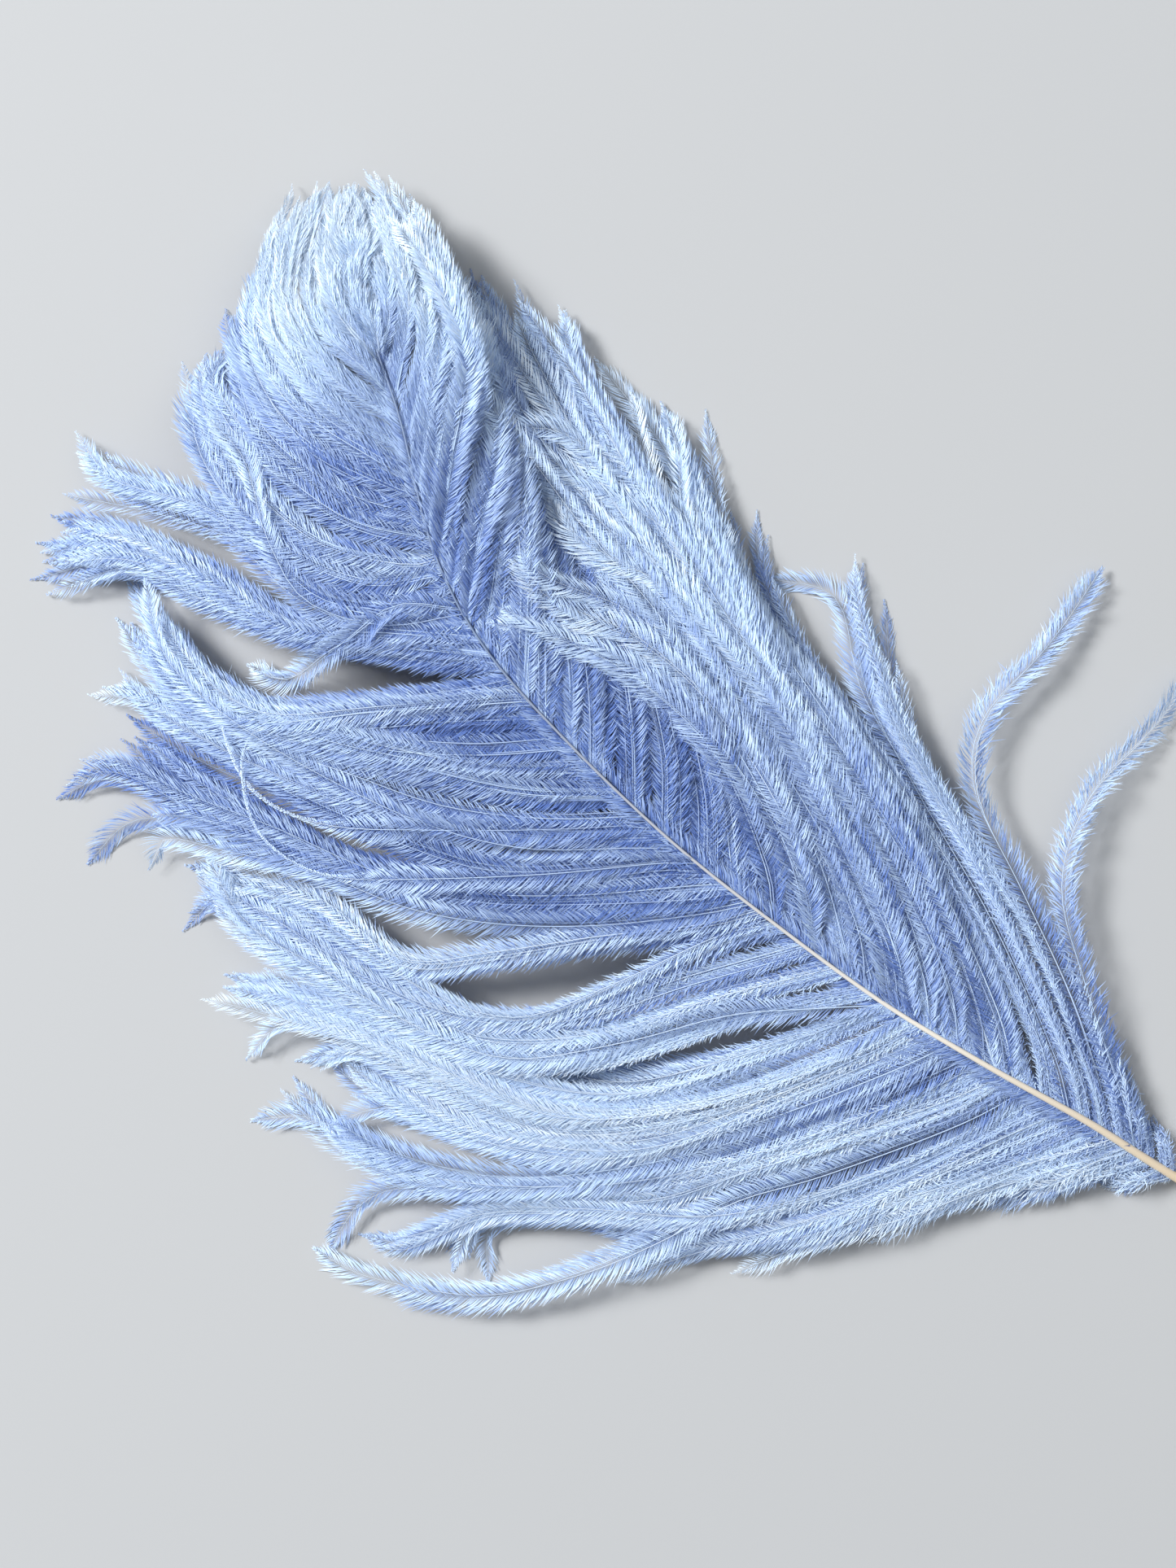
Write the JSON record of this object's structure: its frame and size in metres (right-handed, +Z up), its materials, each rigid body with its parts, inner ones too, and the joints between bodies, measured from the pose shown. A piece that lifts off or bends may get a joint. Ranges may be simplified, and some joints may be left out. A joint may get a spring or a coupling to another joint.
{
  "type": "ostrich feather",
  "caption": "Dyed ostrich plume lying flat: a pale quill with long soft blue barbs that curl over at the head.",
  "frame": {"origin": "middle of the box around the plume, on the surface it lies on", "axes": "+Y along the quill from its cut end to the drooping tip, +X towards the right-hand vane, +Z up"},
  "size_m": [0.3596, 0.491, 0.0354],
  "materials": {
    "barbs": "soft, matt, finely fringed",
    "shaft": "horn-like satin"
  },
  "bodies": {
    "root": {"feather": "barbs"}
  },
  "joints": []
}
